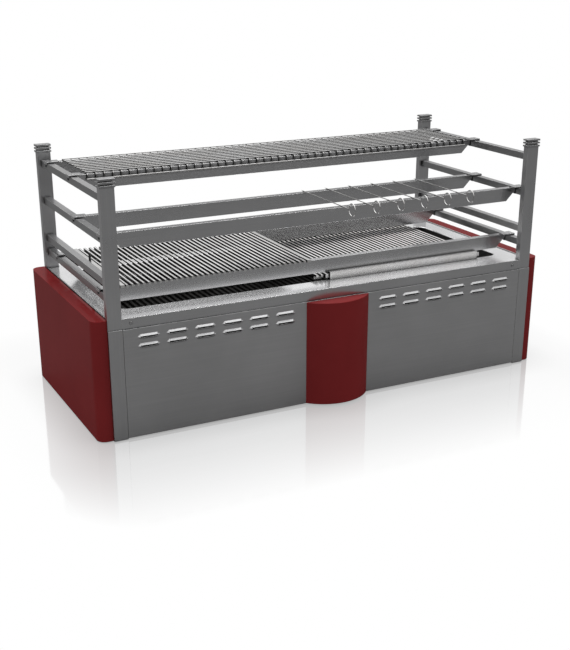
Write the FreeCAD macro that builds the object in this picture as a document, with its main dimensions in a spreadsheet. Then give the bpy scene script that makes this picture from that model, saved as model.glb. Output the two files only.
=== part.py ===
import FreeCAD, Part
import os
from FreeCAD import Placement, Rotation, Vector
from Sketcher import Constraint

doc = FreeCAD.newDocument("konro_grill")
dims = doc.addObject("Spreadsheet::Sheet", "dims")

# Driving sizes in millimetres. Heights are measured from the floor, depths from the front face of the posts.
SIZES = {
    "body_width": 1400,
    "body_depth": 606,
    "body_top": 351,
    "floor_gap": 3,
    "sheet_thick": 3,
    "step_height": 322,
    # Posts, caps and rungs
    "post_width": 40,
    "post_depth": 20,
    "tube_wall": 2,
    "post_top": 705,
    "cap_flange": 5,
    "cap_groove": 4,
    "cap_overhang": 2.5,
    "cap_plug": 15,
    "cap_slack": 0.3,
    "rung_height": 20,
    "rung_width": 20,
    "rung_top_first": 683,
    "rung_top_second": 571,
    "rung_top_third": 456.5,
    "rung_top_fourth": 413,
    # Side shells
    "shell_thick": 41,
    "shell_front": 5,
    "shell_back": 610,
    "shell_round": 25,
    "shell_wall": 2,
    # Deck and its opening
    "opening_front": 84,
    "opening_back": 522,
    "opening_margin": 64,
    "opening_round": 30,
    "opening_lip": 2.5,
    "rim_rise": 2,
    # Drawer, louvres and bowed cover
    "drawer_gap": 1,
    "drawer_base": 6,
    "drawer_return": 14,
    "louvre_pitch": 83,
    "louvre_first": 172,
    "louvre_count": 6,
    "louvre_length": 68,
    "louvre_height": 17,
    "louvre_bulge": 5,
    "louvre_point": 9,
    "louvre_slit": 4,
    "louvre_taper": 45,
    "louvre_row_low": 261,
    "louvre_row_high": 287,
    "cover_half": 104,
    "cover_bow": 50,
    "cover_wall": 2.5,
    "cover_top": 320,
    "cover_edge": 2,
    "tray_half": 596,
    "tray_length": 520,
    "tray_base": 14,
    "tray_top": 144,
    "tray_wall": 2,
    "slide_width": 5.95,
    "slide_height": 8,
    "slide_base": 60,
    "slide_front": 20,
    "slide_length": 480,
    "running_slack": 0.05,
    "runner_top": 80,
    "runner_ledge": 5,
    # Firebox and charcoal grates
    "firebox_half": 640,
    "firebox_front": 80,
    "firebox_back": 526,
    "firebox_floor": 190,
    "ash_slot_half": 560,
    "ash_slot_front": 200,
    "ash_slot_back": 400,
    "bearer_top": 224,
    "bearer_width": 14,
    "coal_bar_pitch": 20,
    "coal_bar_width": 9,
    "coal_bar_count": 32,
    "coal_bar_thick": 12,
    "coal_rim": 12,
    "coal_slack": 1,
    # Cross bars and where each one stands
    "bar_web": 2,
    "bar_flange": 20,
    "bar_lip": 8,
    "bar_rise": 1,
    "bar_height": 41,
    "bar_cut": 35,
    "bar_slack": 0.1,
    "bar_ear": 14,
    "hook_width": 30,
    "hook_thick": 3,
    "hook_base": 2,
    "hook_lip": 3,
    "hook_reach": 4,
    "saddle_width": 8,
    "saddle_thick": 1.5,
    "saddle_drop": 12,
    "saddle_gap": 0.1,
    "first_bar_back": 527,
    "first_bar_mid": 303,
    "second_bar_mid": 281,
    "second_bar_front": 54,
    "fourth_bar_back": 487,
    "fourth_bar_front": 89,
    # Wire mesh
    "mesh_pitch": 25,
    "mesh_wire": 3.2,
    "rest_gap": 0.02,
    "mesh_half": 637.5,
    "mesh_front": 298,
    "mesh_back": 541,
    "mesh_first": 12,
    "mesh_across": 52,
    "mesh_along": 10,
    "mesh_bend": 4,
    "mesh_rod": 5,
    "mesh_rod_drop": 13.4,
    # Rod grates
    "rod_pitch": 16,
    "rod_thick": 8,
    "side_flat": 12,
    "upper_grate_end": 634,
    "upper_rod_count": 35,
    "upper_grate_front": 73,
    "upper_grate_back": 507,
    "cross_front": 195,
    "cross_back": 375,
    "cross_width": 4,
    "cross_drop": 8,
    "peg_thick": 7,
    "peg_rise": 22,
    "peg_front": 210,
    "peg_back": 360,
    "lower_first_rod": 20,
    "lower_rod_count": 37,
    "lower_rod_height": 364,
    "rail_left": 17.5,
    "rail_right": 546,
    "rail_width": 14,
    "rail_height": 25,
    "rail_seat": 10,
    "lug_length": 14,
    "lug_height": 12,
    "lug_thick": 4,
    # Skewers
    "skewer_pitch": 82.4,
    "skewer_first": 43,
    "skewer_wire": 3,
    "skewer_tip": 313,
    "skewer_point": 14,
    "ring_radius": 18,
    "ring_centre": 1,
    # Screws and feet
    "screw_inset": 26,
    "screw_drop": 14,
    "screw_head": 9,
    "screw_thick": 2,
    "foot_size": 50,
    "foot_inset": 60,
}

for row, (alias, value) in enumerate(SIZES.items(), 1):
    dims.set("A%d" % row, alias)
    dims.set("B%d" % row, str(value))
    dims.setAlias("B%d" % row, alias)
doc.recompute()

# The origin lies on the floor below the middle of the whole grill, bowed cover included.
FRONT = "(dims.cover_bow - dims.shell_back) / 2"
HALF = "dims.body_width / 2"
INNER = "(dims.body_width / 2 - dims.post_width)"
RUNG_OUTER = "(dims.body_width / 2 - (dims.post_width - dims.rung_width) / 2)"
RUNG_INNER = "(%s - dims.rung_width)" % RUNG_OUTER
BAR_END = "(%s - dims.saddle_thick - dims.saddle_gap - dims.bar_slack)" % RUNG_INNER
parts = []


def bind(item, **sizes):
    for name, text in sizes.items():
        item.setExpression(name, text)
    return item


def place(item, x, y, z):
    item.setExpression("Placement.Base.x", x)
    item.setExpression("Placement.Base.y", FRONT + " + " + y)
    item.setExpression("Placement.Base.z", z)
    return item


def keep(item, name):
    item.Label = name
    parts.append(item)
    return item


def box(name, x, y, z, length, width, height):
    item = doc.addObject("Part::Box", name)
    bind(item, Length=length, Width=width, Height=height)
    return place(item, x, y, z)


def cylinder(name, x, y, z, radius, height, axis=Vector(0, 0, 1)):
    item = doc.addObject("Part::Cylinder", name)
    item.Placement = Placement(Vector(), Rotation(Vector(0, 0, 1), axis))
    bind(item, Radius=radius, Height=height)
    return place(item, x, y, z)


def cut(name, base, tool):
    item = doc.addObject("Part::Cut", name)
    item.Base = base
    item.Tool = tool
    return item


def fuse(name, shapes):
    item = doc.addObject("Part::MultiFuse", name)
    item.Shapes = shapes
    return item


def group(name, shapes):
    item = doc.addObject("Part::Compound", name)
    item.Links = shapes
    return item


def origin_feature(body, role):
    return next(feature for feature in body.Origin.OriginFeatures if feature.Role == role)


def new_body(name, x, y, z):
    body = doc.addObject("PartDesign::Body", name)
    body.AllowCompound = True
    return place(body, x, y, z)


def new_sketch(body, plane, name, offset="0"):
    sketch = body.newObject("Sketcher::SketchObject", name)
    sketch.AttachmentSupport = [(origin_feature(body, plane), "")]
    sketch.MapMode = "FlatFace"
    sketch.setExpression("AttachmentOffset.Base.z", offset)
    return sketch


def hold(sketch, geometry, point, across, up, guess=(1.0, 1.0)):
    # A point of the sketch is held by its distances from the sketch's origin.
    for kind, text, value in (("DistanceX", across, guess[0]), ("DistanceY", up, guess[1])):
        index = sketch.addConstraint(Constraint(kind, -1, 1, geometry, point, value))
        name = "%s%dp%d" % (kind, geometry, point)
        sketch.renameConstraint(index, name)
        sketch.setExpression("Constraints." + name, text)


def polygon(sketch, points):
    first = sketch.GeometryCount
    count = len(points)
    spots = [Vector(10 + 9 * i, 10 + 7 * i * i, 0) for i in range(count)]
    for i in range(count):
        sketch.addGeometry(Part.LineSegment(spots[i], spots[(i + 1) % count]), False)
    for i in range(count):
        sketch.addConstraint(Constraint("Coincident", first + i, 2, first + (i + 1) % count, 1))
        hold(sketch, first + i, 1, points[i][0], points[i][1])


def rectangle(sketch, left, right, low, high):
    polygon(sketch, [(left, low), (right, low), (right, high), (left, high)])


def circle(sketch, across, up, diameter):
    index = sketch.addGeometry(Part.Circle(Vector(1, 1, 0), Vector(0, 0, 1), 2.0), False)
    hold(sketch, index, 3, across, up)
    constraint = sketch.addConstraint(Constraint("Diameter", index, 4.0))
    sketch.renameConstraint(constraint, "diameter%d" % index)
    sketch.setExpression("Constraints.diameter%d" % index, diameter)


def pad(body, sketch, name, length, backwards=False):
    feature = body.newObject("PartDesign::Pad", name)
    feature.Profile = sketch
    feature.Reversed = backwards
    return bind(feature, Length=length)


def pocket(body, sketch, name, length, backwards=False):
    feature = body.newObject("PartDesign::Pocket", name)
    feature.Profile = sketch
    feature.Reversed = backwards
    return bind(feature, Length=length)


def row_of(body, feature, name, axis, pitch, count):
    pattern = body.newObject("PartDesign::LinearPattern", name)
    pattern.Originals = [feature]
    pattern.Direction = (origin_feature(body, axis), [""])
    bind(pattern, Length="%s * (%s - 1)" % (pitch, count), Occurrences=count)
    body.Tip = pattern
    return pattern


def mirror(body, features, name, plane="YZ_Plane"):
    mirrored = body.newObject("PartDesign::Mirrored", name)
    mirrored.Originals = features
    mirrored.MirrorPlane = (origin_feature(body, plane), [""])
    body.Tip = mirrored
    return mirrored


def round_edges(body, base, name, radius, chosen):
    doc.recompute()
    edges = [
        "Edge%d" % (number + 1)
        for number, edge in enumerate(base.Shape.Edges)
        if chosen(edge)
    ]
    feature = body.newObject("PartDesign::Fillet", name)
    feature.Base = (base, edges)
    return bind(feature, Radius=radius)


# Corner posts are rectangular tubes from the floor gap to the caps
SIDES = (("left", -1), ("right", 1))
ENDS = (("front", "0"), ("back", "dims.body_depth - dims.post_depth"))


def post_left_edge(sign):
    return "-" + HALF if sign < 0 else INNER


def make_post(side, sign, end, depth):
    name = "post_%s_%s" % (end, side)
    left = post_left_edge(sign)
    outer = box(name + "_outer", left, depth, "dims.floor_gap", "dims.post_width", "dims.post_depth",
                "dims.post_top - dims.floor_gap")
    bore = box(name + "_bore", left + " + dims.tube_wall", depth + " + dims.tube_wall", "dims.floor_gap",
               "dims.post_width - 2 * dims.tube_wall", "dims.post_depth - 2 * dims.tube_wall",
               "dims.post_top - dims.floor_gap")
    keep(cut(name, outer, bore), name)


def cap_plate(name, left, depth, overhang, base, height):
    return box(name, "%s - %s" % (left, overhang), "%s - %s" % (depth, overhang), base,
               "dims.post_width + 2 * (%s)" % overhang, "dims.post_depth + 2 * (%s)" % overhang, height)


def make_cap(side, sign, end, depth):
    name = "post_cap_%s_%s" % (end, side)
    left = post_left_edge(sign)
    step = "(dims.cap_flange + dims.cap_groove)"
    plates = []
    for tier in range(3):
        base = "dims.post_top + %d * %s" % (tier, step)
        plates.append(cap_plate("%s_flange_%d" % (name, tier), left, depth, "dims.cap_overhang", base,
                                "dims.cap_flange"))
    neck = cap_plate(name + "_neck", left, depth, "(-dims.cap_overhang)", "dims.post_top",
                     "2 * %s" % step)
    plug = cap_plate(name + "_plug", left, depth, "(-dims.tube_wall - dims.cap_slack)",
                     "dims.post_top - dims.cap_plug", "dims.cap_plug + dims.cap_flange")
    keep(fuse(name, plates + [neck, plug]), name)


# Rungs join the front and back post of one side at four heights
RUNGS = ("first", "second", "third", "fourth")


def make_rung(side, sign, level):
    name = "rung_%s_%s" % (level, side)
    left = post_left_edge(sign) + " + (dims.post_width - dims.rung_width) / 2"
    length = "dims.body_depth - 2 * dims.post_depth"
    base = "dims.rung_top_%s - dims.rung_height" % level
    outer = box(name + "_outer", left, "dims.post_depth", base, "dims.rung_width", length, "dims.rung_height")
    bore = box(name + "_bore", left + " + dims.tube_wall", "dims.post_depth", base + " + dims.tube_wall",
               "dims.rung_width - 2 * dims.tube_wall", length, "dims.rung_height - 2 * dims.tube_wall")
    keep(cut(name, outer, bore), name)


for side, sign in SIDES:
    for end, depth in ENDS:
        make_post(side, sign, end, depth)
        make_cap(side, sign, end, depth)
    for level in RUNGS:
        make_rung(side, sign, level)


# Side shells: pressed covers with rounded front and back edges, open towards the body
def upright_at(x):
    def chosen(edge):
        box_ = edge.BoundBox
        return box_.ZLength > 1 and box_.XLength < 1e-6 and box_.YLength < 1e-6 and abs(box_.XMin - x) < 1e-3

    return chosen


def make_shell(side, sign):
    name = "side_shell_" + side
    body = new_body(name, ("-" if sign < 0 else "") + HALF, "dims.shell_front", "dims.floor_gap")
    reach = ("-" if sign < 0 else "") + "dims.shell_thick"
    length = "dims.shell_back - dims.shell_front"
    plan = new_sketch(body, "XY_Plane", name + "_plan")
    rectangle(plan, "0", reach, "0", length)
    block = pad(body, plan, name + "_block", "dims.body_top - dims.floor_gap")
    doc.recompute()
    thick = float(dims.shell_thick) * sign
    rounded = round_edges(body, block, name + "_rounded", "dims.shell_round", upright_at(thick))
    hollow = new_sketch(body, "XY_Plane", name + "_hollow")
    wall = "dims.shell_wall"
    inner_reach = ("-(%s)" if sign < 0 else "%s") % "(dims.shell_thick - dims.shell_wall)"
    rectangle(hollow, "0", inner_reach, "dims.shell_round", length + " - dims.shell_round")
    pocket(body, hollow, name + "_cavity", "dims.body_top - dims.floor_gap - " + wall, True)
    keep(body, name)


for side, sign in SIDES:
    make_shell(side, sign)


# The deck is the polished top frame: notched round the posts, with a rolled lip round its opening
def make_deck():
    body = new_body("deck", "0", "0", "dims.body_top - dims.sheet_thick")
    plan = new_sketch(body, "XY_Plane", "deck_plan")
    edge = "(%s - 2 * dims.sheet_thick)" % HALF
    front = "dims.sheet_thick"
    back = "(dims.body_depth - dims.sheet_thick)"
    notch = "dims.post_depth"
    back_notch = "(dims.body_depth - dims.post_depth)"
    half_plan = [(INNER, front), (INNER, notch), (edge, notch), (edge, back_notch), (INNER, back_notch),
                 (INNER, back)]
    mirrored = [("-" + across, up) for across, up in reversed(half_plan)]
    polygon(plan, half_plan + mirrored)
    sheet = pad(body, plan, "deck_sheet", "dims.sheet_thick")
    opening = new_sketch(body, "XY_Plane", "deck_opening")
    opening_half = "(%s - dims.opening_margin)" % HALF
    rectangle(opening, "-" + opening_half, opening_half, "dims.opening_front", "dims.opening_back")
    hole = pocket(body, opening, "deck_hole", "dims.sheet_thick", True)
    half = float(dims.body_width) / 2 - float(dims.opening_margin)
    corners = round_edges(body, hole, "deck_corners", "dims.opening_round",
                          lambda edge: upright_at(half)(edge) or upright_at(-half)(edge))
    top = float(dims.sheet_thick)
    limit = half + 1

    def lip(edge):
        span = edge.BoundBox
        level = abs(span.ZMin - top) < 1e-3 and abs(span.ZMax - top) < 1e-3
        inside = abs(span.XMin) < limit and abs(span.XMax) < limit
        between = span.YMin > float(dims.opening_front) - 1 and span.YMax < float(dims.opening_back) + 1
        return level and inside and between

    round_edges(body, corners, "deck_lip", "dims.opening_lip", lip)
    keep(body, "deck")


make_deck()


# Fixed sheets of the body
def make_body_panels():
    side_height = "dims.body_top + dims.rim_rise - dims.floor_gap"
    for side, sign in SIDES:
        left = ("-(%s - dims.sheet_thick)" if sign < 0 else "%s - 2 * dims.sheet_thick") % HALF
        panel = box("side_panel_" + side, left, "dims.post_depth", "dims.floor_gap", "dims.sheet_thick",
                    "dims.body_depth - 2 * dims.post_depth", side_height)
        keep(panel, "side_panel_" + side)
        cover_left = ("-(%s)" if sign < 0 else "%s - dims.post_width") % HALF
        cover = box("corner_cover_" + side, cover_left, "-dims.sheet_thick", "dims.floor_gap",
                    "dims.post_width", "dims.sheet_thick", "dims.step_height - dims.floor_gap")
        keep(cover, "corner_cover_" + side)
    between = "2 * " + INNER
    back = box("back_panel", "-" + INNER, "dims.body_depth - dims.sheet_thick", "dims.floor_gap", between,
               "dims.sheet_thick", "dims.body_top - dims.floor_gap")
    keep(back, "back_panel")
    rail = box("front_top_rail", "-" + INNER, "0", "dims.step_height", between, "dims.sheet_thick",
               "dims.body_top - dims.step_height")
    keep(rail, "front_top_rail")


def make_bottom_pan():
    body = new_body("bottom_pan", "0", "0", "dims.floor_gap")
    plan = new_sketch(body, "XY_Plane", "bottom_plan")
    edge = "(%s - 2 * dims.sheet_thick)" % HALF
    front = "dims.sheet_thick"
    back = "(dims.body_depth - dims.sheet_thick)"
    back_notch = "(dims.body_depth - dims.post_depth)"
    half_plan = [(INNER, front), (INNER, "dims.post_depth"), (edge, "dims.post_depth"), (edge, back_notch),
                 (INNER, back_notch), (INNER, back)]
    polygon(plan, half_plan + [("-" + across, up) for across, up in reversed(half_plan)])
    pad(body, plan, "bottom_sheet", "dims.sheet_thick")
    keep(body, "bottom_pan")


def make_feet_and_screws():
    feet = []
    screws = []
    for side, sign in SIDES:
        minus = "-" if sign < 0 else ""
        for end, depth in (("front", "dims.foot_inset"), ("back", "dims.body_depth - dims.foot_inset")):
            feet.append(cylinder("foot_%s_%s" % (end, side), "%s(%s - dims.foot_inset)" % (minus, INNER), depth,
                                 "0", "dims.foot_size / 2", "dims.floor_gap"))
        screws.append(cylinder("screw_" + side, "%s(%s - dims.screw_inset)" % (minus, INNER), "0",
                               "dims.body_top - dims.screw_drop", "dims.screw_head / 2", "dims.screw_thick",
                               Vector(0, -1, 0)))
    keep(group("feet", feet), "feet")
    keep(group("rail_screws", screws), "rail_screws")


make_body_panels()
make_bottom_pan()
make_feet_and_screws()


# The firebox hangs below the deck, with an ash slot in its floor and a bearer on each long wall
def make_firebox():
    depth = "dims.firebox_back - dims.firebox_front"
    wall = "dims.sheet_thick"
    height = "dims.body_top - dims.sheet_thick - dims.firebox_floor"
    outer = box("firebox_outer", "-dims.firebox_half", "dims.firebox_front", "dims.firebox_floor",
                "2 * dims.firebox_half", depth, height)
    cavity = box("firebox_cavity", "-dims.firebox_half + " + wall, "dims.firebox_front + " + wall,
                 "dims.firebox_floor + " + wall, "2 * (dims.firebox_half - dims.sheet_thick)",
                 depth + " - 2 * " + wall, height)
    slot = box("firebox_slot", "-dims.ash_slot_half", "dims.ash_slot_front", "dims.firebox_floor",
               "2 * dims.ash_slot_half", "dims.ash_slot_back - dims.ash_slot_front", wall)
    shell = cut("firebox_shell", outer, cavity)
    open_floor = cut("firebox_open_floor", shell, slot)
    bearers = []
    for end, place_ in (("front", "dims.firebox_front + " + wall),
                        ("back", "dims.firebox_back - %s - dims.bearer_width" % wall)):
        bearers.append(box("bearer_" + end, "-dims.firebox_half + " + wall, place_,
                           "dims.bearer_top - " + wall, "2 * (dims.firebox_half - dims.sheet_thick)",
                           "dims.bearer_width", wall))
    keep(fuse("firebox", [open_floor] + bearers), "firebox")


# Cast charcoal grates: two rims joined by bars that run front to back
def make_coal_grate(side, sign):
    name = "charcoal_grate_" + side
    span = "(dims.coal_bar_pitch * (dims.coal_bar_count - 1) + dims.coal_bar_width)"
    left = "-%s - dims.coal_slack" % span if sign < 0 else "dims.coal_slack"
    length = "(dims.firebox_back - dims.firebox_front - 2 * dims.sheet_thick - 2 * dims.coal_slack)"
    body = new_body(name, left, "dims.firebox_front + dims.sheet_thick + dims.coal_slack", "dims.bearer_top")
    rims = new_sketch(body, "XY_Plane", name + "_rims")
    rectangle(rims, "0", span, "0", "dims.coal_rim")
    rectangle(rims, "0", span, length + " - dims.coal_rim", length)
    pad(body, rims, name + "_rim", "dims.coal_bar_thick")
    first = new_sketch(body, "XY_Plane", name + "_first_bar")
    rectangle(first, "0", "dims.coal_bar_width", "dims.coal_rim / 2", length + " - dims.coal_rim / 2")
    bar = pad(body, first, name + "_bar", "dims.coal_bar_thick")
    row_of(body, bar, name + "_bars", "X_Axis", "dims.coal_bar_pitch", "dims.coal_bar_count")
    keep(body, name)


make_firebox()
for side, sign in SIDES:
    make_coal_grate(side, sign)


# The drawer front is a folded panel with pressed louvres: a tapered hood over a slit through the sheet
DRAWER_HALF = "(%s - dims.drawer_gap)" % INNER


def louvre_start(sign):
    last = "dims.louvre_first + dims.louvre_pitch * (dims.louvre_count - 1)"
    return "-(%s)" % last if sign < 0 else "dims.louvre_first"


def make_louvre_row(body, side, sign, row):
    name = "louvre_%s_%s" % (row, side)
    start = louvre_start(sign)
    low = "dims.louvre_row_%s - dims.drawer_base" % row
    middle = low + " + dims.louvre_height / 2"
    high = low + " + dims.louvre_height"
    tip = "dims.louvre_length / 2"
    shoulder = "(dims.louvre_length / 2 - dims.louvre_point)"
    hood = new_sketch(body, "XZ_Plane", name + "_outline", "dims.sheet_thick / 2")
    polygon(hood, [
        (start + " - " + shoulder, low),
        (start + " + " + shoulder, low),
        (start + " + " + tip, middle),
        (start + " + " + shoulder, high),
        (start + " - " + shoulder, high),
        (start + " - " + tip, middle),
    ])
    bulge = pad(body, hood, name + "_hood", "dims.louvre_bulge + dims.sheet_thick / 2")
    bulge.setExpression("TaperAngle", "-dims.louvre_taper")
    opening = new_sketch(body, "XZ_Plane", name + "_opening", "dims.sheet_thick + dims.louvre_bulge")
    slit_low = middle + " - dims.louvre_slit / 2"
    rectangle(opening, start + " - " + shoulder, start + " + " + shoulder, slit_low,
              slit_low + " + dims.louvre_slit")
    slit = pocket(body, opening, name + "_slit", "dims.sheet_thick + dims.louvre_bulge")
    pattern = row_of(body, bulge, name + "_row", "X_Axis", "dims.louvre_pitch", "dims.louvre_count")
    pattern.Originals = [bulge, slit]


def make_drawer_front():
    body = new_body("drawer_front", "0", "0", "dims.drawer_base")
    height = "(dims.step_height - dims.drawer_gap - dims.drawer_base)"
    face = new_sketch(body, "XZ_Plane", "drawer_face")
    rectangle(face, "-" + DRAWER_HALF, DRAWER_HALF, "0", height)
    pad(body, face, "drawer_plate", "dims.sheet_thick")
    fold = new_sketch(body, "XZ_Plane", "drawer_fold")
    inner_half = "(%s - dims.sheet_thick)" % DRAWER_HALF
    inner_height = "(%s - dims.sheet_thick)" % height
    half_fold = [(DRAWER_HALF, "0"), (DRAWER_HALF, height)]
    half_inner = [(inner_half, inner_height), (inner_half, "0")]
    polygon(fold, [("-" + DRAWER_HALF, height), ("-" + DRAWER_HALF, "0"), ("-" + inner_half, "0"),
                   ("-" + inner_half, inner_height)] + half_inner + half_fold)
    pad(body, fold, "drawer_returns", "dims.drawer_return", True)
    for side, sign in SIDES:
        for row in ("low", "high"):
            make_louvre_row(body, side, sign, row)
    keep(body, "drawer_front")


# The bowed cover is an arc in plan, closed on top and hollow behind
def bow(sketch, half, depth, shift):
    # The chord lies along X; the arc passes through both of its ends and bulges to the front by depth.
    left_end = Vector(-100, -3, 0)
    right_end = Vector(100, -3, 0)
    chord = sketch.addGeometry(Part.LineSegment(left_end, right_end), False)
    arc = sketch.addGeometry(Part.Arc(left_end, Vector(0, -50, 0), right_end), False)
    sketch.addConstraint(Constraint("Coincident", chord, 1, arc, 1))
    sketch.addConstraint(Constraint("Coincident", chord, 2, arc, 2))
    hold(sketch, chord, 1, "-" + half, "-" + shift, (-100.0, -3.0))
    hold(sketch, chord, 2, half, "-" + shift, (100.0, -3.0))
    index = sketch.addConstraint(Constraint("Radius", arc, 130.0))
    sketch.renameConstraint(index, "bow_radius")
    sketch.setExpression("Constraints.bow_radius", "(%s ^ 2 + (%s) ^ 2) / (2 * (%s))" % (half, depth, depth))


def make_cover():
    body = new_body("bowed_cover", "0", "0", "dims.drawer_base")
    height = "(dims.cover_top - dims.drawer_base)"
    plan = new_sketch(body, "XY_Plane", "cover_plan")
    bow(plan, "dims.cover_half", "(dims.cover_bow - dims.sheet_thick)", "dims.sheet_thick")
    block = pad(body, plan, "cover_block", height)
    top = float(dims.cover_top) - float(dims.drawer_base)
    front = -float(dims.sheet_thick) - 0.01

    def top_arc(edge):
        span = edge.BoundBox
        return abs(span.ZMin - top) < 1e-3 and span.ZLength < 1e-3 and span.YMin < front

    round_edges(body, block, "cover_edge", "dims.cover_edge", top_arc)
    hollow = new_sketch(body, "XY_Plane", "cover_hollow")
    bow(hollow, "(dims.cover_half - 2 * dims.cover_wall)",
        "(dims.cover_bow - dims.sheet_thick - dims.cover_wall)", "dims.sheet_thick")
    pocket(body, hollow, "cover_cavity", height + " - dims.cover_wall", True)
    keep(body, "bowed_cover")


def make_ash_tray():
    length = "2 * dims.tray_half"
    height = "dims.tray_top - dims.tray_base"
    outer = box("tray_outer", "-dims.tray_half", "0", "dims.tray_base", length, "dims.tray_length", height)
    inner = box("tray_inner", "-dims.tray_half + dims.tray_wall", "dims.tray_wall",
                "dims.tray_base + dims.tray_wall", length + " - 2 * dims.tray_wall",
                "dims.tray_length - 2 * dims.tray_wall", height)
    keep(cut("ash_tray", outer, inner), "ash_tray")


def make_drawer_slides():
    # A slide on each side of the tray rides on the ledge of an angle that stands on the bottom pan
    slides = []
    runners = []
    web = "(dims.tray_half + dims.slide_width + dims.running_slack)"
    ledge_top = "(dims.slide_base - dims.running_slack)"
    for side, sign in SIDES:
        left = "-dims.tray_half - dims.slide_width" if sign < 0 else "dims.tray_half"
        slides.append(box("slide_" + side, left, "dims.slide_front", "dims.slide_base", "dims.slide_width",
                          "dims.slide_length", "dims.slide_height"))
        web_left = "-%s - dims.sheet_thick" % web if sign < 0 else web
        upright = box("runner_web_" + side, web_left, "dims.slide_front", "dims.floor_gap + dims.sheet_thick",
                      "dims.sheet_thick", "dims.slide_length",
                      "dims.runner_top - dims.floor_gap - dims.sheet_thick")
        ledge_left = "-" + web if sign < 0 else web + " - dims.runner_ledge"
        ledge = box("runner_ledge_" + side, ledge_left, "dims.slide_front",
                    ledge_top + " - dims.sheet_thick", "dims.runner_ledge", "dims.slide_length",
                    "dims.sheet_thick")
        runners.append(fuse("runner_" + side, [upright, ledge]))
    keep(group("drawer_slides", slides), "drawer_slides")
    keep(group("drawer_runners", runners), "drawer_runners")


make_drawer_front()
make_cover()
make_ash_tray()
make_drawer_slides()


# Cross bars: a folded web with cut lower corners, a top flange, and hooks that lie over the rungs
BARS = (
    ("first", "back"),
    ("first", "mid"),
    ("second", "mid"),
    ("second", "front"),
    ("fourth", "back"),
    ("fourth", "front"),
)


def make_cross_bar(level, spot):
    name = "cross_bar_%s_%s" % (level, spot)
    body = new_body(name, "0", "dims.%s_bar_%s" % (level, spot), "dims.rung_top_" + level)
    web = new_sketch(body, "XZ_Plane", name + "_web")
    ear = "(%s - dims.bar_ear)" % BAR_END
    foot = "(%s - dims.bar_cut)" % BAR_END
    low = "dims.bar_rise - dims.bar_height"
    hook_top = "(dims.hook_base + dims.hook_thick)"
    right = [
        (foot, low),
        (BAR_END, low + " + dims.bar_cut"),
        (BAR_END, hook_top),
        (ear, hook_top),
        (ear, "dims.bar_rise"),
    ]
    left = [("-" + across, up) for across, up in reversed(right)]
    polygon(web, right + left)
    pad(body, web, name + "_plate", "dims.bar_web", True)
    fold = new_sketch(body, "YZ_Plane", name + "_fold", "-" + ear)
    top = "dims.bar_rise"
    under = "dims.bar_rise - dims.bar_web"
    polygon(fold, [
        ("0", top),
        ("0", under),
        ("dims.bar_flange - dims.bar_web", under),
        ("dims.bar_flange - dims.bar_web", "dims.bar_rise - dims.bar_lip"),
        ("dims.bar_flange", "dims.bar_rise - dims.bar_lip"),
        ("dims.bar_flange", top),
    ])
    pad(body, fold, name + "_flange", "2 * " + ear)
    hook = new_sketch(body, "XZ_Plane", name + "_hook", "(dims.hook_width - dims.bar_web) / 2")
    reach = "(%s + dims.hook_reach)" % RUNG_OUTER
    fold_line = "(%s - dims.hook_thick / 2)" % reach
    polygon(hook, [
        (ear, "dims.hook_base"),
        (ear, hook_top),
        (reach, hook_top),
        (reach, "-dims.hook_lip"),
        (fold_line, "-dims.hook_lip"),
        (fold_line, "dims.hook_base"),
    ])
    plate = pad(body, hook, name + "_hook_plate", "dims.hook_width", True)
    mirror(body, [plate], name + "_other_hook")
    keep(body, name)


def make_saddles(level, spot):
    # A dark clip under each hook straddles its rung: a full leg inside, a short leg outside
    name = "bar_saddles_%s_%s" % (level, spot)
    depth = "dims.%s_bar_%s + dims.bar_web" % (level, spot)
    top = "dims.rung_top_" + level
    inner = "(%s - dims.saddle_gap - dims.saddle_thick)" % RUNG_INNER
    outer = "(%s + dims.saddle_gap)" % RUNG_OUTER
    clips = []
    for side, sign in SIDES:
        part = name + "_" + side
        width = "dims.saddle_width"
        thick = "dims.saddle_thick"
        inner_left = "-%s - %s" % (inner, thick) if sign < 0 else inner
        outer_left = "-%s - %s" % (outer, thick) if sign < 0 else outer
        span = "%s - %s + %s" % (outer, inner, thick)
        span_left = "-%s - %s" % (outer, thick) if sign < 0 else inner
        roof_base = top + " + dims.saddle_gap"
        roof_top = top + " + dims.saddle_gap + " + thick
        clips.append(fuse(part, [
            box(part + "_roof", span_left, depth, roof_base, span, width, thick),
            box(part + "_inner_leg", inner_left, depth, top + " - dims.rung_height", thick, width,
                "dims.rung_height + dims.saddle_gap + " + thick),
            box(part + "_outer_leg", outer_left, depth, top + " - dims.saddle_drop", thick, width,
                "dims.saddle_drop + dims.saddle_gap + " + thick),
        ]))
    keep(group(name, clips), name)


for level, spot in BARS:
    make_cross_bar(level, spot)
    make_saddles(level, spot)


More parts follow.
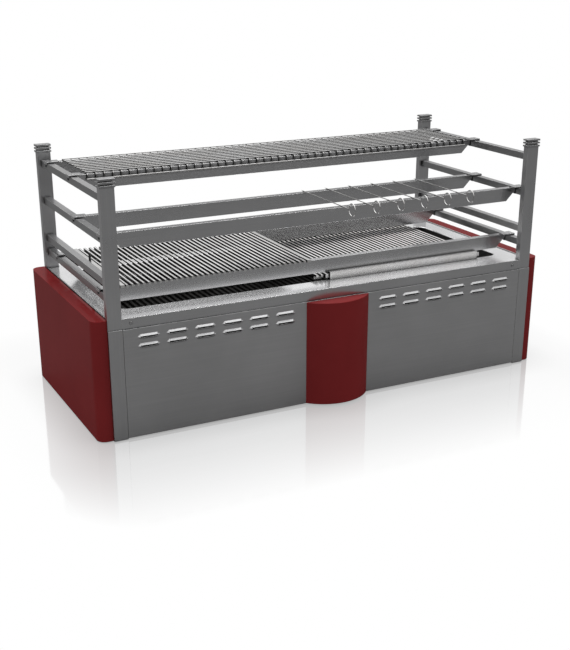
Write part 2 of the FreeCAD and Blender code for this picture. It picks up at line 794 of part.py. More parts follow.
# Wire mesh: wires bent down over a long front rod, crossed by straight wires that lie on top
def make_mesh():
    wire_base = "(dims.rung_top_first + dims.bar_rise)"
    body = new_body("wire_mesh", "0", "0", "0")
    level = "(%s + dims.mesh_wire / 2 + dims.rest_gap)" % wire_base
    rod_height = "(%s - dims.mesh_rod_drop)" % wire_base
    rod_top = "(%s + dims.mesh_rod / 2 + dims.rest_gap)" % rod_height
    start = "-dims.mesh_half"
    path = new_sketch(body, "YZ_Plane", "mesh_path", start)
    bend_start = Vector(283, 684, 0)
    bend_end = Vector(289, 690, 0)
    down = path.addGeometry(Part.LineSegment(Vector(283, 677, 0), bend_start), False)
    bend = path.addGeometry(Part.Arc(bend_start, Vector(284.8, 688.2, 0), bend_end), False)
    along = path.addGeometry(Part.LineSegment(bend_end, Vector(526, 690, 0)), False)
    path.addConstraint(Constraint("Coincident", down, 2, bend, 2))
    path.addConstraint(Constraint("Coincident", bend, 1, along, 1))
    hold(path, down, 1, "dims.mesh_front", rod_top, (283.0, 677.0))
    hold(path, down, 2, "dims.mesh_front", level + " - dims.mesh_bend", (283.0, 684.0))
    hold(path, along, 1, "dims.mesh_front + dims.mesh_bend", level, (289.0, 690.0))
    hold(path, along, 2, "dims.mesh_back", level, (526.0, 690.0))
    index = path.addConstraint(Constraint("Radius", bend, 6.0))
    path.renameConstraint(index, "bend_radius")
    path.setExpression("Constraints.bend_radius", "dims.mesh_bend")
    section = new_sketch(body, "XY_Plane", "mesh_section", rod_top)
    circle(section, start, "dims.mesh_front", "dims.mesh_wire")
    bent = body.newObject("PartDesign::AdditivePipe", "mesh_bent_wire")
    bent.Profile = section
    bent.Spine = path
    row_of(body, bent, "mesh_bent_wires", "X_Axis", "dims.mesh_pitch", "dims.mesh_across")
    across = new_sketch(body, "YZ_Plane", "mesh_across", "-dims.mesh_half - dims.mesh_wire")
    circle(across, "dims.mesh_front + dims.mesh_first", level + " + dims.mesh_wire + dims.rest_gap",
           "dims.mesh_wire")
    wire = pad(body, across, "mesh_cross_wire", "2 * (dims.mesh_half + dims.mesh_wire)")
    row_of(body, wire, "mesh_cross_wires", "Y_Axis", "dims.mesh_pitch", "dims.mesh_along")
    rod = new_sketch(body, "YZ_Plane", "mesh_rod_section", "-dims.mesh_half - dims.mesh_wire")
    circle(rod, "dims.mesh_front", rod_height, "dims.mesh_rod")
    pad(body, rod, "mesh_front_rod", "2 * (dims.mesh_half + dims.mesh_wire)")
    keep(body, "wire_mesh")


# Rod grates: round rods welded to flats
def add_rods(body, name, first, length, height, count):
    section = new_sketch(body, "XZ_Plane", name + "_rod_section")
    circle(section, first, height, "dims.rod_thick")
    rod = pad(body, section, name + "_rod", length, True)
    return row_of(body, rod, name + "_rods", "X_Axis", "dims.rod_pitch", count)


def make_upper_grate():
    name = "upper_grate"
    body = new_body(name, "-dims.upper_grate_end", "dims.upper_grate_front",
                    "dims.rung_top_fourth + dims.bar_rise")
    length = "(dims.upper_grate_back - dims.upper_grate_front)"
    first = "(dims.side_flat + dims.rod_pitch / 2)"
    span = "(2 * %s + dims.rod_pitch * (dims.upper_rod_count - 1))" % first
    sides = new_sketch(body, "XY_Plane", name + "_sides")
    rectangle(sides, "0", "dims.side_flat", "0", length)
    rectangle(sides, span + " - dims.side_flat", span, "0", length)
    pad(body, sides, name + "_side_flats", "dims.rod_thick")
    across = new_sketch(body, "YZ_Plane", name + "_across")
    for spot in ("front", "back"):
        depth = "(dims.cross_%s - dims.upper_grate_front)" % spot
        rectangle(across, depth, depth + " + dims.cross_width", "-dims.cross_drop", "dims.rod_thick / 4")
    pad(body, across, name + "_cross_flats", span)
    add_rods(body, name, first, length, "dims.rod_thick / 2", "dims.upper_rod_count")
    keep(body, name)


def make_grate_pegs():
    pegs = []
    for spot in ("front", "back"):
        pegs.append(cylinder("peg_" + spot, "-dims.upper_grate_end + dims.side_flat / 2", "dims.peg_" + spot,
                             "dims.rung_top_fourth + dims.bar_rise + dims.rod_thick", "dims.peg_thick / 2",
                             "dims.peg_rise"))
    keep(group("grate_pegs", pegs), "grate_pegs")


def tube_section(sketch, depth, base):
    rectangle(sketch, depth, depth + " + dims.rail_width", base, base + " + dims.rail_height")
    wall = "dims.tube_wall"
    rectangle(sketch, "%s + %s" % (depth, wall), "%s + dims.rail_width - %s" % (depth, wall),
              "%s + %s" % (base, wall), "%s + dims.rail_height - %s" % (base, wall))


def make_lower_grate():
    name = "lower_grate"
    body = new_body(name, "0", "0", "0")
    front_rail = "(dims.opening_front - dims.rail_seat)"
    back_rail = "(dims.opening_back + dims.rail_seat - dims.rail_width)"
    rails = new_sketch(body, "YZ_Plane", name + "_rail_section", "dims.rail_left")
    tube_section(rails, front_rail, "dims.body_top")
    tube_section(rails, back_rail, "dims.body_top")
    pad(body, rails, name + "_rails", "dims.rail_right - dims.rail_left")
    ends = (
        ("left", "dims.rail_left - dims.tube_wall", "dims.rail_left - dims.lug_length"),
        ("right", "dims.rail_right", "dims.rail_right"),
    )
    for side, plug_start, lug_start in ends:
        plug = new_sketch(body, "YZ_Plane", "%s_plug_%s" % (name, side), plug_start)
        lug = new_sketch(body, "YZ_Plane", "%s_lug_%s" % (name, side), lug_start)
        for rail in (front_rail, back_rail):
            rectangle(plug, rail, rail + " + dims.rail_width", "dims.body_top",
                      "dims.body_top + dims.rail_height")
            lug_left = "%s + dims.rail_width / 2 - dims.lug_thick / 2" % rail
            lug_low = "dims.body_top + dims.rail_height / 2 - dims.lug_height / 2"
            rectangle(lug, lug_left, lug_left + " + dims.lug_thick", lug_low, lug_low + " + dims.lug_height")
        pad(body, plug, "%s_plugs_%s" % (name, side), "dims.tube_wall")
        pad(body, lug, "%s_lugs_%s" % (name, side), "dims.lug_length")
    rod_front = "(%s + dims.rail_width - dims.tube_wall / 2)" % front_rail
    rod_back = "(%s + dims.tube_wall / 2)" % back_rail
    across = new_sketch(body, "YZ_Plane", name + "_across", "-dims.lower_first_rod - dims.rod_thick")
    flat_top = "dims.lower_rod_height - dims.rod_thick / 4"
    for depth in (rod_front + " + dims.cross_drop", rod_back + " - dims.cross_drop - dims.cross_width"):
        rectangle(across, depth, depth + " + dims.cross_width", flat_top + " - dims.cross_drop", flat_top)
    pad(body, across, name + "_cross_flats",
        "dims.rod_pitch * (dims.lower_rod_count - 1) + 2 * dims.rod_thick")
    section = new_sketch(body, "XZ_Plane", name + "_rod_section", "-" + rod_front)
    circle(section, "-dims.lower_first_rod", "dims.lower_rod_height", "dims.rod_thick")
    rod = pad(body, section, name + "_rod", "%s - %s" % (rod_back, rod_front), True)
    row_of(body, rod, name + "_rods", "X_Axis", "dims.rod_pitch", "dims.lower_rod_count")
    keep(body, name)


make_mesh()
make_upper_grate()
make_grate_pegs()
make_lower_grate()


# Skewers: a pointed wire with a ring handle that lies on the second pair of bars
def make_skewer(number):
    name = "skewer_%d" % (number + 1)
    across = "dims.skewer_first + dims.skewer_pitch * %d" % number
    height = "dims.rung_top_second + dims.bar_rise + dims.skewer_wire / 2 + dims.rest_gap"
    radius = "dims.skewer_wire / 2"
    start = "(dims.ring_centre + dims.ring_radius)"
    length = "dims.skewer_tip - dims.skewer_point - " + start
    backwards = Vector(0, 1, 0)
    shaft = cylinder(name + "_shaft", across, start, height, radius, length, backwards)
    point = doc.addObject("Part::Cone", name + "_point")
    point.Placement = Placement(Vector(), Rotation(Vector(0, 0, 1), backwards))
    bind(point, Radius1=radius, Height="dims.skewer_point")
    point.Radius2 = 0
    place(point, across, "dims.skewer_tip - dims.skewer_point", height)
    ring = doc.addObject("Part::Torus", name + "_ring")
    ring.Placement = Placement(Vector(), Rotation(Vector(0, 0, 1), Vector(1, 0, 0)))
    bind(ring, Radius1="dims.ring_radius", Radius2=radius)
    place(ring, across, "dims.ring_centre", height)
    keep(fuse(name, [shaft, point, ring]), name)


SKEWERS = 6
for number in range(SKEWERS):
    make_skewer(number)

doc.recompute()
for item in doc.Objects:
    if "Invalid" in item.State or "Error" in item.State:
        raise RuntimeError("%s: %s" % (item.Name, item.State))
for item in parts:
    if item.Shape.isNull() or not item.Shape.isValid():
        raise RuntimeError("%s has no valid shape" % item.Label)

os.makedirs("parts", exist_ok=True)
for item in parts:
    item.Shape.exportStep(os.path.join("parts", item.Label + ".step"))
print(len(parts), "sub-parts written")
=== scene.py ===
# %% [markdown]
# # A long konro grill, dressed for its portrait
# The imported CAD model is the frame: its solids already have the right shape and place.
# This lesson sets the camera, builds a small studio and gives every sheet, tube, rod and
# wire a finish of its own. It adds no shapes and moves none.

# %% Load the frame
import math

import bpy
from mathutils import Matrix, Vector


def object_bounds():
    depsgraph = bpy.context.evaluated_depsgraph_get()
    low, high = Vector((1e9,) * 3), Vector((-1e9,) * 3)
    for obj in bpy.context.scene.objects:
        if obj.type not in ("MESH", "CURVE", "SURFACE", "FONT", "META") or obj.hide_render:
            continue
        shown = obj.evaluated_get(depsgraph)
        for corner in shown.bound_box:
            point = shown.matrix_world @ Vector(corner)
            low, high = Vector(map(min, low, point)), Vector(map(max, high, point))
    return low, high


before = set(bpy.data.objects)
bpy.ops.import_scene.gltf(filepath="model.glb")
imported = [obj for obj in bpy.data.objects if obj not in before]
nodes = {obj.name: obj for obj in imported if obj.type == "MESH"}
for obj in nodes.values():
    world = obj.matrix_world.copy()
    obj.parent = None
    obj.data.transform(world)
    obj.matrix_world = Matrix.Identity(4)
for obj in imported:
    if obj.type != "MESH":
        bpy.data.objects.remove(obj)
cad_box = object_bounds()


# %% [markdown]
# ## The camera
# The photo was taken from the front left and a little above. The camera could be placed
# by eye, but straight edges of the grill fix it exactly: its place, its turn to the
# right, its tilt downwards and its lens. Only a small upward shift of the picture is
# needed to put the grill where it sits in the frame.

# %% Camera
CAMERA_PLACE = (-1.5359, -2.9528, 1.2704)
CAMERA_TURN = 0.4718
CAMERA_TILT = -0.3684
FOCAL_PIXELS = 1100.23
PICTURE_HEIGHT = 650
SENSOR = 36.0
MIDDLE_DOWN = 48.31
MIDDLE_RIGHT = 0.18

camera_data = bpy.data.cameras.new("camera")
camera_data.sensor_width = SENSOR
camera_data.lens = FOCAL_PIXELS * SENSOR / PICTURE_HEIGHT
camera_data.shift_y = MIDDLE_DOWN / PICTURE_HEIGHT
camera_data.shift_x = -MIDDLE_RIGHT / PICTURE_HEIGHT
camera_data.clip_end = 60.0
camera = bpy.data.objects.new("camera", camera_data)
bpy.context.scene.collection.objects.link(camera)
camera.location = CAMERA_PLACE
camera.rotation_euler = (math.pi / 2 + CAMERA_TILT, 0.0, -CAMERA_TURN)
bpy.context.scene.camera = camera
print("lens: %.2f mm" % camera_data.lens)


# %% [markdown]
# ## The studio
# Steel shows what stands around it. Vertical faces of this grill show a calm middle
# grey, while everything that looks upwards is nearly white. So the light comes from
# above, and the surroundings grow darker towards the horizon and below. A world shader
# that fades with height is the simplest way to do that, and it can't show a seam.
#
# All shaders here are built from a few helpers: one that sets a socket or links it, one
# for sums and one that maps a range of values to another.

# %% Helpers for node trees
WHITE = (1.0, 1.0, 1.0, 1.0)


def link(tree, a, b):
    tree.links.new(a, b)


def put(tree, socket, value):
    if isinstance(value, bpy.types.NodeSocket):
        link(tree, value, socket)
    else:
        socket.default_value = value


def node_of(tree, kind, **values):
    node = tree.nodes.new(kind)
    for name, value in values.items():
        setattr(node, name, value)
    return node


def math_node(tree, operation, *terms, clamp=False):
    node = node_of(tree, "ShaderNodeMath", operation=operation, use_clamp=clamp)
    for socket, term in zip(node.inputs, terms):
        put(tree, socket, term)
    return node.outputs[0]


def map_range(tree, value, source=(0.0, 1.0), target=(0.0, 1.0)):
    node = node_of(tree, "ShaderNodeMapRange")
    put(tree, node.inputs["Value"], value)
    for label, number in zip(("From Min", "From Max", "To Min", "To Max"), source + target):
        put(tree, node.inputs[label], number)
    return node.outputs[0]


print("helpers ready")


# %% World
SKY_STOPS = (
    # height from straight down (0) to straight up (1), brightness
    (0.0, 0.05), (0.44, 0.07), (0.52, 0.14), (0.60, 0.45), (0.68, 1.15), (0.82, 1.35), (1.0, 1.5),
)

world = bpy.data.worlds.new("studio")
bpy.context.scene.world = world
world.use_nodes = True
tree = world.node_tree
tree.nodes.clear()
direction = node_of(tree, "ShaderNodeTexCoord")
split = node_of(tree, "ShaderNodeSeparateXYZ")
height = map_range(tree, split.outputs["Z"], source=(-1.0, 1.0))
ramp = node_of(tree, "ShaderNodeValToRGB")
while len(ramp.color_ramp.elements) < len(SKY_STOPS):
    ramp.color_ramp.elements.new(0.5)
for element, (place, level) in zip(ramp.color_ramp.elements, SKY_STOPS):
    element.position = place
    element.color = (level, level, level, 1.0)
surround = node_of(tree, "ShaderNodeBackground")
backdrop = node_of(tree, "ShaderNodeBackground")
backdrop.inputs["Color"].default_value = WHITE
seen = node_of(tree, "ShaderNodeLightPath")
choose = node_of(tree, "ShaderNodeMixShader")
world_out = node_of(tree, "ShaderNodeOutputWorld")
link(tree, direction.outputs["Generated"], split.inputs[0])
link(tree, height, ramp.inputs[0])
link(tree, ramp.outputs[0], surround.inputs["Color"])
link(tree, seen.outputs["Is Camera Ray"], choose.inputs[0])
link(tree, surround.outputs[0], choose.inputs[1])
link(tree, backdrop.outputs[0], choose.inputs[2])
link(tree, choose.outputs[0], world_out.inputs[0])
bpy.context.scene.view_settings.view_transform = "Standard"
print("sky stops:", len(SKY_STOPS))


# %% [markdown]
# Two soft boxes finish the light. The large one hangs over the grill and draws the
# bright lines along the tubes; the smaller one stands to the left, for the long
# highlight on the red side.

# %% Lights
def soft_box(name, place, target, width, depth, power):
    data = bpy.data.lights.new(name, "AREA")
    data.shape = "RECTANGLE"
    data.size = width
    data.size_y = depth
    data.energy = power
    lamp = bpy.data.objects.new(name, data)
    bpy.context.scene.collection.objects.link(lamp)
    lamp.location = place
    aim = Vector(target) - Vector(place)
    lamp.rotation_euler = aim.to_track_quat("-Z", "Y").to_euler()
    return lamp


soft_box("soft_box_above", (0.4, 0.6, 3.2), (0.0, 0.0, 0.3), 3.4, 2.4, 60)
soft_box("soft_box_left", (-3.2, -0.6, 1.9), (-0.6, 0.0, 0.2), 1.6, 1.6, 4)
print("soft boxes: 2")


# %% [markdown]
# ## The floor
# The floor is a single white sheet, large enough for its edge to stay out of every view.
# Close to the grill it works like lacquer: a clear reflection that fades within about half
# a metre, with a painted contact shadow, a narrow dark line where the grill comes down to
# the floor. Rays that come from the steel see a dark floor instead of a white one, as they
# would in a studio with black flags laid out in front of the grill.

# %% Floor sheet
FLOOR_HALF = 14.0
floor_mesh = bpy.data.meshes.new("floor")
corners = [(-FLOOR_HALF, -FLOOR_HALF, 0), (FLOOR_HALF, -FLOOR_HALF, 0),
           (FLOOR_HALF, FLOOR_HALF, 0), (-FLOOR_HALF, FLOOR_HALF, 0)]
floor_mesh.from_pydata(corners, [], [(0, 1, 2, 3)])
floor = bpy.data.objects.new("floor", floor_mesh)
bpy.context.scene.collection.objects.link(floor)
print("floor: %.0f m across" % (2 * FLOOR_HALF))


# %% Distance from the grill
REFLECTION_REACH = 0.45
REFLECTION = 0.40
FADE_POWER = 1.3
SIDE_FALL = 1.7


def beyond(tree, axis_value, low, high):
    under = math_node(tree, "SUBTRACT", low, axis_value)
    over = math_node(tree, "SUBTRACT", axis_value, high)
    return math_node(tree, "MAXIMUM", math_node(tree, "MAXIMUM", under, over), 0.0)


floor_look = bpy.data.materials.new("floor_paper")
floor_look.use_nodes = True
tree = floor_look.node_tree
tree.nodes.clear()
place = node_of(tree, "ShaderNodeNewGeometry")
split = node_of(tree, "ShaderNodeSeparateXYZ")
link(tree, place.outputs["Position"], split.inputs[0])
aside = beyond(tree, split.outputs["X"], cad_box[0][0], cad_box[1][0])
aside = math_node(tree, "MULTIPLY", aside, SIDE_FALL)
ahead = beyond(tree, split.outputs["Y"], cad_box[0][1], cad_box[1][1])
squares = math_node(tree, "ADD", math_node(tree, "POWER", aside, 2.0),
                    math_node(tree, "POWER", ahead, 2.0))
away = math_node(tree, "DIVIDE", math_node(tree, "SQRT", squares), REFLECTION_REACH)
far = math_node(tree, "POWER", away, FADE_POWER)
near = math_node(tree, "SUBTRACT", 1.0, far, clamp=True)
fade = math_node(tree, "MULTIPLY", near, REFLECTION)
print("reflection reaches %.2f m" % REFLECTION_REACH)


# %% Floor material
CONTACT_SHADOW_REACH = 0.12
CONTACT_SHADOW_DARK = 0.62
MIRROR_ROUGHNESS = 0.06
DARK_PAPER = (0.17, 0.17, 0.17, 1.0)

# painted contact shadow: the floor's glow dims where the grill is close
contact_shadow = node_of(tree, "ShaderNodeAmbientOcclusion", samples=8)
contact_shadow.inputs["Distance"].default_value = CONTACT_SHADOW_REACH
shade = map_range(tree, contact_shadow.outputs["AO"], target=(CONTACT_SHADOW_DARK, 1.0))
lit = node_of(tree, "ShaderNodeEmission")
lit.inputs["Color"].default_value = WHITE
link(tree, shade, lit.inputs["Strength"])
gloss = node_of(tree, "ShaderNodeBsdfGlossy")
gloss.inputs["Roughness"].default_value = MIRROR_ROUGHNESS
mirror = node_of(tree, "ShaderNodeMixShader")
dark_paper = node_of(tree, "ShaderNodeBsdfDiffuse")
dark_paper.inputs["Color"].default_value = DARK_PAPER
seen = node_of(tree, "ShaderNodeLightPath")
choose = node_of(tree, "ShaderNodeMixShader")
floor_out = node_of(tree, "ShaderNodeOutputMaterial")
link(tree, fade, mirror.inputs[0])
link(tree, lit.outputs[0], mirror.inputs[1])
link(tree, gloss.outputs[0], mirror.inputs[2])
link(tree, seen.outputs["Is Camera Ray"], choose.inputs[0])
link(tree, dark_paper.outputs[0], choose.inputs[1])
link(tree, mirror.outputs[0], choose.inputs[2])
link(tree, choose.outputs[0], floor_out.inputs[0])
floor_mesh.materials.append(floor_look)
print("floor material:", floor_look.name)


# %% [markdown]
# ## Effects that several finishes share
# Brushed grain, a painted highlight along edges, painted shade in seams and the cloudy
# tone of handled metal turn up in most finishes here. Each is built once as a node group.
# A group only puts out a mask, a value or a normal, and the shader that uses it stays in its own
# material.

# %% Group maker
def new_group(name, inputs, outputs):
    group = bpy.data.node_groups.new(name, "ShaderNodeTree")
    for label, kind, value in inputs:
        socket = group.interface.new_socket(label, in_out="INPUT", socket_type=kind)
        socket.default_value = value
    for label, kind in outputs:
        group.interface.new_socket(label, in_out="OUTPUT", socket_type=kind)
    start = group.nodes.new("NodeGroupInput")
    end = group.nodes.new("NodeGroupOutput")
    return group, start, end


def noise(tree, vector, scale, detail, roughness=0.5):
    node = node_of(tree, "ShaderNodeTexNoise")
    put(tree, node.inputs["Vector"], vector)
    put(tree, node.inputs["Scale"], scale)
    put(tree, node.inputs["Detail"], detail)
    put(tree, node.inputs["Roughness"], roughness)
    return node.outputs["Fac"]


# %% [markdown]
# Brushed grain is fine noise pulled long in the direction of the brush. Stretch divides
# the coordinates, so a large number along one axis makes long strokes along it.

# %% Brushed grain
grain_group, start, end = new_group(
    "brushed_grain",
    [("Stretch", "NodeSocketVector", (1.0, 1.0, 1.0)), ("Strokes", "NodeSocketFloat", 260.0)],
    [("Stroke", "NodeSocketFloat")])
coords = node_of(grain_group, "ShaderNodeTexCoord")
pull = node_of(grain_group, "ShaderNodeVectorMath", operation="DIVIDE")
link(grain_group, coords.outputs["Object"], pull.inputs[0])
link(grain_group, start.outputs["Stretch"], pull.inputs[1])
strokes = noise(grain_group, pull.outputs[0], start.outputs["Strokes"], 4.0)
link(grain_group, strokes, end.inputs["Stroke"])
print("group:", grain_group.name)


# %% [markdown]
# A folded sheet catches light along its bends. The Bevel node gives a normal that is
# rounded near edges, and where it differs from the true normal there is an edge. The
# finishes lighten the colour along that edge mask, a painted highlight. Both the soft
# normal and the mask come out of the group.

# %% Edge line
edge_group, start, end = new_group(
    "edge_line",
    [("Radius", "NodeSocketFloat", 0.0012), ("Spread", "NodeSocketFloat", 8.0)],
    [("Mask", "NodeSocketFloat"), ("Normal", "NodeSocketVector")])
bevel = node_of(edge_group, "ShaderNodeBevel", samples=4)
surface = node_of(edge_group, "ShaderNodeNewGeometry")
agree = node_of(edge_group, "ShaderNodeVectorMath", operation="DOT_PRODUCT")
link(edge_group, start.outputs["Radius"], bevel.inputs["Radius"])
link(edge_group, bevel.outputs[0], agree.inputs[0])
link(edge_group, surface.outputs["Normal"], agree.inputs[1])
differ = math_node(edge_group, "SUBTRACT", 1.0, agree.outputs["Value"])
mask = math_node(edge_group, "MULTIPLY", differ, start.outputs["Spread"], clamp=True)
link(edge_group, mask, end.inputs["Mask"])
link(edge_group, bevel.outputs[0], end.inputs["Normal"])
print("group:", edge_group.name)


# %% [markdown]
# Where two sheets meet, and in every narrow gap, the colour is darkened as painted shade,
# added because a picture without it looks like a toy. Ambient occlusion over a few
# millimetres finds exactly those places.

# %% Painted seam shade
SHUT_IN, OPEN_AIR = 0.45, 0.85  # occlusion that counts as a seam, and as none

seam_shade_group, start, end = new_group(
    "seam_shade",
    [("Reach", "NodeSocketFloat", 0.010), ("Darkest", "NodeSocketFloat", 0.15)],
    [("Light", "NodeSocketFloat")])
# painted shade: the less open air around a point, the darker its colour
cover = node_of(seam_shade_group, "ShaderNodeAmbientOcclusion", samples=6)
link(seam_shade_group, start.outputs["Reach"], cover.inputs["Distance"])
light = map_range(seam_shade_group, cover.outputs["AO"], source=(SHUT_IN, OPEN_AIR),
                  target=(start.outputs["Darkest"], 1.0))
link(seam_shade_group, light, end.inputs["Light"])
print("group:", seam_shade_group.name)


# %% [markdown]
# Nothing in a kitchen stays evenly clean. A slow cloud of noise with a little finer
# noise on it moves the tone and the shine by a few percent, and the eye reads it as
# metal that has been wiped by hand.

# %% Handled tone
CLOUD_LOW, CLOUD_HIGH = 0.3, 0.7  # noise values that stand for the two ends of the tone

tone_group, start, end = new_group(
    "handled_tone",
    [("Size", "NodeSocketFloat", 6.0), ("Low", "NodeSocketFloat", 0.9),
     ("High", "NodeSocketFloat", 1.1)],
    [("Tone", "NodeSocketFloat")])
coords = node_of(tone_group, "ShaderNodeTexCoord")
cloud = noise(tone_group, coords.outputs["Object"], start.outputs["Size"], 5.0, 0.6)
tone = map_range(tone_group, cloud, source=(CLOUD_LOW, CLOUD_HIGH),
                 target=(start.outputs["Low"], start.outputs["High"]))
link(tone_group, tone, end.inputs["Tone"])
print("group:", tone_group.name)


# %% [markdown]
# ## The finishes
# One function makes every brushed steel here. What changes from piece to piece is the
# way the brush went, how dark the sheet is and how sharply it mirrors.

# %% Helpers for materials
def new_material(name):
    material = bpy.data.materials.new(name)
    material.use_nodes = True
    tree = material.node_tree
    shader = tree.nodes["Principled BSDF"]
    return material, tree, shader


def use_group(tree, group, **values):
    node = node_of(tree, "ShaderNodeGroup")
    node.node_tree = group
    for name, value in values.items():
        node.inputs[name].default_value = value
    return node


def mix_colour(tree, factor, a, b):
    node = node_of(tree, "ShaderNodeMix", data_type="RGBA")
    put(tree, node.inputs[0], factor)
    put(tree, node.inputs[6], a)
    put(tree, node.inputs[7], b)
    return node.outputs[2]


def scaled(tree, colour, factor):
    node = node_of(tree, "ShaderNodeVectorMath", operation="SCALE")
    put(tree, node.inputs[0], colour)
    put(tree, node.inputs["Scale"], factor)
    return node.outputs[0]


def bump(tree, height, strength, distance, normal=None):
    node = node_of(tree, "ShaderNodeBump")
    node.inputs["Strength"].default_value = strength
    node.inputs["Distance"].default_value = distance
    link(tree, height, node.inputs["Height"])
    if normal is not None:
        link(tree, normal, node.inputs["Normal"])
    return node.outputs[0]


# %% Brushed steel
ALONG_X = (60.0, 1.0, 1.0)
ALONG_Y = (1.0, 60.0, 1.0)
ALONG_Z = (1.0, 1.0, 60.0)
GRAIN_SHADE = (0.16, 0.92)  # what a stroke adds, and the shade under it
WIPED = 0.04  # how far wiping moves the tone up or down
# colour of the painted highlight along edges
PAINTED_EDGE_HIGHLIGHT = (0.92, 0.92, 0.92, 1.0)


def brushed_steel(name, tone, roughness, stretch, edge_highlight=0.55, radius=0.0012):
    material, tree, shader = new_material(name)
    seam_shade = use_group(tree, seam_shade_group)
    grain = use_group(tree, grain_group, Stretch=stretch)
    cloud = use_group(tree, tone_group, Low=1.0 - WIPED, High=1.0 + WIPED)
    line = use_group(tree, edge_group, Radius=radius)
    grain_shade = math_node(tree, "MULTIPLY_ADD", grain.outputs["Stroke"], *GRAIN_SHADE)
    shade = math_node(tree, "MULTIPLY", grain_shade, cloud.outputs["Tone"])
    # painted shade in seams and narrow gaps darkens the colour
    shade = math_node(tree, "MULTIPLY", shade, seam_shade.outputs["Light"])
    body = scaled(tree, (tone, tone, tone * 1.01), shade)
    # painted highlight: the colour turns towards near white along edges
    painted_highlight = math_node(tree, "MULTIPLY", line.outputs["Mask"], edge_highlight)
    colour = mix_colour(tree, painted_highlight, body, PAINTED_EDGE_HIGHLIGHT)
    link(tree, colour, shader.inputs["Base Color"])
    rough = math_node(tree, "MULTIPLY", cloud.outputs["Tone"], roughness)
    link(tree, rough, shader.inputs["Roughness"])
    shader.inputs["Metallic"].default_value = 1.0
    link(tree, bump(tree, grain.outputs["Stroke"], 0.02, 0.0001, line.outputs["Normal"]),
         shader.inputs["Normal"])
    return material


post_steel = brushed_steel("post_steel", 0.50, 0.28, ALONG_Z)
rung_steel = brushed_steel("rung_steel", 0.34, 0.30, ALONG_Y)
bar_steel = brushed_steel("bar_steel", 0.52, 0.22, ALONG_X, edge_highlight=0.9, radius=0.0009)
panel_steel = brushed_steel("panel_steel", 0.46, 0.40, ALONG_X)
corner_steel = brushed_steel("corner_steel", 0.46, 0.38, ALONG_Z)
sheet_steel = brushed_steel("sheet_steel", 0.50, 0.38, ALONG_X)
cap_steel = brushed_steel("cap_steel", 0.38, 0.30, ALONG_X)
print("brushed steels: 7")


# %% [markdown]
# The deck round the fire is polished, not brushed: it mirrors the posts and bars above
# it. Fine wiping marks keep the mirror from looking like glass.

# %% Polished deck
DECK_TONE = (0.86, 0.86, 0.87)
# colour of the painted highlight along the deck's edges
DECK_EDGE_HIGHLIGHT = (0.96, 0.96, 0.96, 1.0)
DECK_ROUGHNESS = 0.17

deck_steel, tree, shader = new_material("polished_deck")
cloud = use_group(tree, tone_group, Size=9.0, Low=0.94, High=1.04)
line = use_group(tree, edge_group, Radius=0.0015)
grain = use_group(tree, grain_group, Stretch=ALONG_X, Strokes=160.0)
seam_shade = use_group(tree, seam_shade_group)
# painted shade in seams darkens the deck's colour
shade = math_node(tree, "MULTIPLY", cloud.outputs["Tone"], seam_shade.outputs["Light"])
body = scaled(tree, DECK_TONE, shade)
# painted highlight along the deck's edges
colour = mix_colour(tree, line.outputs["Mask"], body, DECK_EDGE_HIGHLIGHT)
link(tree, colour, shader.inputs["Base Color"])
rough = math_node(tree, "MULTIPLY", cloud.outputs["Tone"], DECK_ROUGHNESS)
link(tree, rough, shader.inputs["Roughness"])
shader.inputs["Metallic"].default_value = 0.8
link(tree, bump(tree, grain.outputs["Stroke"], 0.01, 0.0001, line.outputs["Normal"]),
     shader.inputs["Normal"])
print("polished:", deck_steel.name)


# %% [markdown]
# The side shells and the cover are sheet steel with a deep red gloss paint. Real paint
# has a clear coat over colour and a faint orange peel. Along folds and edges the colour
# is painted a lighter red, a painted highlight.

# %% Red gloss paint
PAINT_RED = (0.160, 0.0165, 0.0175)
PAINT_EDGE_GLINT = (0.36, 0.030, 0.036, 1.0)
PAINT_ROUGHNESS = 0.32
PEEL_SCALE = 260.0

red_paint, tree, shader = new_material("red_gloss_paint")
cloud = use_group(tree, tone_group, Size=3.0, Low=0.9, High=1.1)
line = use_group(tree, edge_group, Radius=0.002)
coords = node_of(tree, "ShaderNodeTexCoord")
peel = noise(tree, coords.outputs["Object"], PEEL_SCALE, 2.0)
body = scaled(tree, PAINT_RED, cloud.outputs["Tone"])
# painted highlight: a lighter red along folds and edges
painted_glint = math_node(tree, "MULTIPLY", line.outputs["Mask"], 0.5)
link(tree, mix_colour(tree, painted_glint, body, PAINT_EDGE_GLINT), shader.inputs["Base Color"])
rough = math_node(tree, "MULTIPLY", cloud.outputs["Tone"], PAINT_ROUGHNESS)
link(tree, rough, shader.inputs["Roughness"])
shader.inputs["Specular IOR Level"].default_value = 0.0
shader.inputs["Coat Weight"].default_value = 0.22
shader.inputs["Coat IOR"].default_value = 1.35
shader.inputs["Coat Roughness"].default_value = 0.03
link(tree, bump(tree, peel, 0.05, 0.0003, line.outputs["Normal"]), shader.inputs["Normal"])
print("paint:", red_paint.name)


# %% [markdown]
# The clips and pegs are painted black, the charcoal grates are rough cast iron, the
# firebox is sheet steel coloured nearly black as painted shade for its dark inside, and
# the feet are dark rubber.

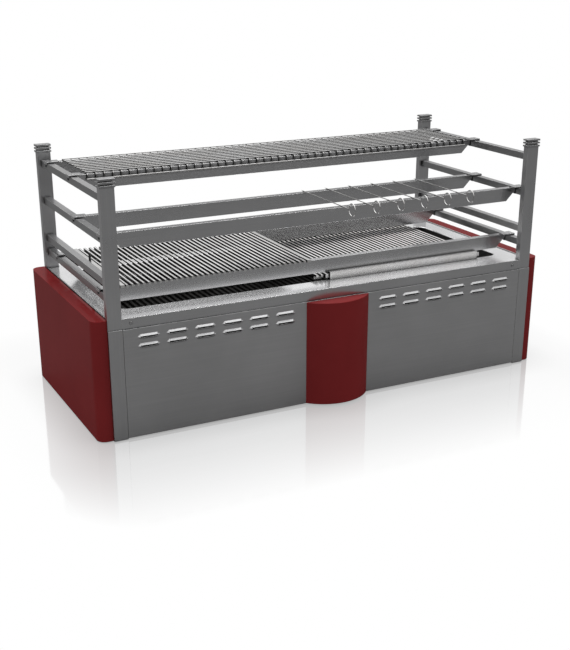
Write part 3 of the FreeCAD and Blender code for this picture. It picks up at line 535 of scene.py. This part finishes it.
# %% Dark finishes
def dark_finish(name, tone, roughness, grain_size, depth, metal=0.0):
    material, tree, shader = new_material(name)
    coords = node_of(tree, "ShaderNodeTexCoord")
    pits = noise(tree, coords.outputs["Object"], grain_size, 5.0, 0.65)
    cloud = use_group(tree, tone_group, Size=14.0, Low=0.75, High=1.3)
    shade = math_node(tree, "MULTIPLY", cloud.outputs["Tone"], math_node(tree, "ADD", pits, 0.5))
    link(tree, scaled(tree, tone, shade), shader.inputs["Base Color"])
    rough = math_node(tree, "MULTIPLY", cloud.outputs["Tone"], roughness)
    link(tree, rough, shader.inputs["Roughness"])
    shader.inputs["Metallic"].default_value = metal
    link(tree, bump(tree, pits, 0.5, depth), shader.inputs["Normal"])
    return material


black_paint = dark_finish("black_paint", (0.018, 0.018, 0.019), 0.42, 700.0, 0.0001)
cast_iron = dark_finish("cast_iron", (0.030, 0.029, 0.028), 0.6, 420.0, 0.0006, metal=0.4)
foot_rubber = dark_finish("foot_rubber", (0.02, 0.02, 0.02), 0.8, 500.0, 0.0002)
# painted shade: the firebox is coloured nearly black for the shade inside it
near_black_firebox_steel = dark_finish("near_black_firebox_steel", (0.012, 0.0115, 0.011), 0.75, 60.0, 0.0004)
print("dark finishes: 4")


# %% [markdown]
# Rods and wires are drawn, so they shine along their length. Where the fire reaches
# them they take a straw tint, which comes from slow noise in the material. Their flanks
# are darkened as painted shade, and painted shade also darkens the gaps between them, while
# the crowns stay light. The rods run from front to back, so the sideways part of the
# surface's own normal tells flank from crown. The skewers get no painted shade on their flanks.

# %% Drawn rods and wires
CROWN_ENDS, FLANK_STARTS = 0.62, 0.95  # sideways part of the normal
STRAW = (0.8, 0.75, 0.69)


def flank_shade(tree, flank_shade_level):
    surface = node_of(tree, "ShaderNodeNewGeometry")
    split = node_of(tree, "ShaderNodeSeparateXYZ")
    link(tree, surface.outputs["Normal"], split.inputs[0])
    sideways = math_node(tree, "ABSOLUTE", split.outputs["X"])
    return map_range(tree, sideways, source=(CROWN_ENDS, FLANK_STARTS),
                     target=(1.0, flank_shade_level))


def drawn_steel(name, tone, roughness, stretch, reach=0.03, flank_shade_level=1.0):
    material, tree, shader = new_material(name)
    seam_shade = use_group(tree, seam_shade_group, Reach=reach, Darkest=0.03)
    # painted shade: darker in gaps between rods and on flanks that face sideways
    light = math_node(tree, "MULTIPLY", seam_shade.outputs["Light"], flank_shade(tree, flank_shade_level))
    grain = use_group(tree, grain_group, Stretch=stretch, Strokes=500.0)
    cloud = use_group(tree, tone_group, Size=11.0, Low=0.0, High=0.35)
    shade = math_node(tree, "ADD", grain.outputs["Stroke"], 0.5)
    untinted = scaled(tree, (tone, tone, tone), math_node(tree, "MULTIPLY", shade, light))
    straw = scaled(tree, tuple(tone * part for part in STRAW), light)
    link(tree, mix_colour(tree, cloud.outputs["Tone"], untinted, straw), shader.inputs["Base Color"])
    rough = math_node(tree, "MULTIPLY_ADD", cloud.outputs["Tone"], 0.2, roughness)
    link(tree, rough, shader.inputs["Roughness"])
    shader.inputs["Metallic"].default_value = 1.0
    link(tree, bump(tree, grain.outputs["Stroke"], 0.1, 0.0001), shader.inputs["Normal"])
    return material


rod_steel = drawn_steel("rod_steel", 0.74, 0.14, ALONG_Y, flank_shade_level=0.03)
wire_steel = drawn_steel("wire_steel", 0.34, 0.20, ALONG_Y, reach=0.015, flank_shade_level=0.6)
skewer_steel = drawn_steel("skewer_steel", 0.50, 0.20, ALONG_Y, reach=0.004)
print("drawn steels: 3")


# %% [markdown]
# ## Dressing the frame
# Each CAD node keeps its mesh and gets its finish by name. The first rule that fits the
# start of a name wins, so the more exact rules come first. The last one takes what is left:
# the casing, the ash tray, the slides and the runners.

# %% Assign the finishes
RULES = (
    ("side_shell", red_paint),
    ("bowed_cover", red_paint),
    ("drawer_front", panel_steel),
    ("corner_cover", corner_steel),
    ("front_top_rail", bar_steel),
    ("rail_screws", cap_steel),
    ("post_cap", cap_steel),
    ("post_", post_steel),
    ("rung_", rung_steel),
    ("cross_bar", bar_steel),
    ("bar_saddles", black_paint),
    ("grate_pegs", black_paint),
    ("deck", deck_steel),
    ("firebox", near_black_firebox_steel),
    ("charcoal_grate", cast_iron),
    ("upper_grate", rod_steel),
    ("lower_grate", rod_steel),
    ("wire_mesh", wire_steel),
    ("skewer", skewer_steel),
    ("feet", foot_rubber),
    ("", sheet_steel),
)


def finish_for(name):
    for beginning, material in RULES:
        if name.startswith(beginning):
            return material


for name, node in nodes.items():
    node.data.materials.clear()
    node.data.materials.append(finish_for(name))
print("dressed:", len(nodes))
